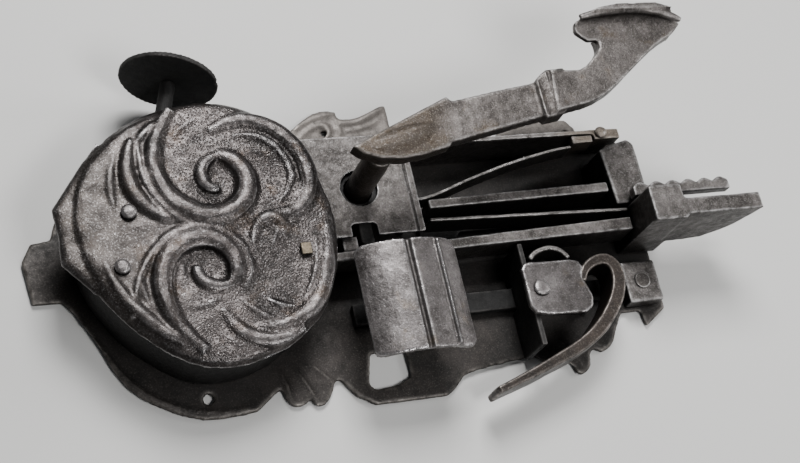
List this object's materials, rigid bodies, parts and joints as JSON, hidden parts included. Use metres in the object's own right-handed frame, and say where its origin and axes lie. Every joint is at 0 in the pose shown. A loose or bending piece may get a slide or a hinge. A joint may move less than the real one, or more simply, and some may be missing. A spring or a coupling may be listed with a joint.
{
  "type": "door lock",
  "caption": "Wrought-iron rim door lock with a round key drum, lever handle driving a spring latch, key-thrown deadbolt, night bolt with an arched thumb grip, and a knob.",
  "frame": {"origin": "centre of the key drum on the backplate's rear face, which lies against the door", "axes": "+X along the lock towards the bolts, +Y towards the lever handle's curled tip, +Z away from the door"},
  "size_m": [0.3383, 0.1683, 0.0805],
  "materials": {
    "case_iron": "forged iron, dark brown-grey patina, lighter on raised edges",
    "dark_iron": "unworn forged iron, near-black inside the case",
    "worn_iron": "handled iron, rubbed lighter with a low sheen",
    "spring_steel": "dull spring steel, thin brown oxide",
    "brass": "tarnished brass, yellow-brown"
  },
  "bodies": {
    "case": {"backplate": "case_iron", "drum_wall": "dark_iron", "drum_cover": "case_iron", "cover_rivet_upper": "worn_iron", "cover_rivet_lower": "worn_iron", "cover_rivet_square": "brass", "key_pin": "worn_iron", "ward_ring_large": "dark_iron", "ward_ring_small": "dark_iron", "tumbler_post": "worn_iron", "tumbler_spring": "spring_steel", "works_plate": "worn_iron", "plate_pillar_1": "dark_iron", "plate_pillar_2": "dark_iron", "plate_pillar_3": "dark_iron", "plate_pillar_4": "dark_iron", "top_wall": "case_iron", "spring_clip": "brass", "corner_rivet": "worn_iron", "handle_spring": "spring_steel", "deadbolt_staple": "dark_iron", "night_bolt_staple": "dark_iron", "cross_web": "case_iron", "lever_rivet": "worn_iron", "detent_spring": "spring_steel"},
    "handle": {"handle_lever": "worn_iron", "handle_spindle": "case_iron", "follower": "dark_iron"},
    "latch": {"latch_head": "worn_iron", "latch_bar": "case_iron", "latch_spring": "spring_steel", "latch_scalloped_strip": "worn_iron"},
    "deadbolt": {"deadbolt_head": "worn_iron", "deadbolt_bar": "case_iron", "deadbolt_tail": "dark_iron"},
    "night_bolt": {"night_bolt_bar": "case_iron", "night_bolt_head": "worn_iron", "night_bolt_rivet": "dark_iron", "grip_stem": "dark_iron", "thumb_grip": "worn_iron"},
    "horn_lever": {"lever_plate": "worn_iron", "horn": "case_iron"},
    "knob": {"knob_disc": "dark_iron", "knob_stem": "case_iron", "knob_cam": "dark_iron"},
    "tumbler": {"tumbler": "dark_iron"}
  },
  "joints": [
    {"name": "handle_turn", "type": "hinge", "parent": "case", "child": "handle", "pos_m": [0.074, 0.0178, 0], "axis": [0, 0, 1], "range_deg": [-30, 0], "stiffness_Nm_per_rad": 0.8, "springref_deg": 6.88, "deforming": ["handle_spring"]},
    {"name": "latch_slide", "type": "slide", "parent": "case", "child": "latch", "axis": [1, 0, 0], "range_m": [-0.013, 0]},
    {"name": "deadbolt_slide", "type": "slide", "parent": "case", "child": "deadbolt", "axis": [1, 0, 0], "range_m": [0, 0.016]},
    {"name": "night_bolt_slide", "type": "slide", "parent": "case", "child": "night_bolt", "axis": [1, 0, 0], "range_m": [0, 0.016]},
    {"name": "horn_turn", "type": "hinge", "parent": "case", "child": "horn_lever", "pos_m": [0.149, -0.0385, 0], "axis": [0, 0, 1], "range_deg": [-8, 0]},
    {"name": "knob_turn", "type": "hinge", "parent": "case", "child": "knob", "pos_m": [-0.003, 0.077, 0.027], "axis": [0.2924, 0.9563, 0], "range_deg": [0, 90]},
    {"name": "tumbler_lift", "type": "hinge", "parent": "case", "child": "tumbler", "pos_m": [-0.034, 0.014, 0], "axis": [0, 0, 1], "range_deg": [0, 6], "stiffness_Nm_per_rad": 0.05, "springref_deg": -5.73, "deforming": ["tumbler_spring"]}
  ],
  "couplings": [
    {"joint": "latch_slide", "follows": "handle_turn", "m_per_rad": 0.0248}
  ]
}
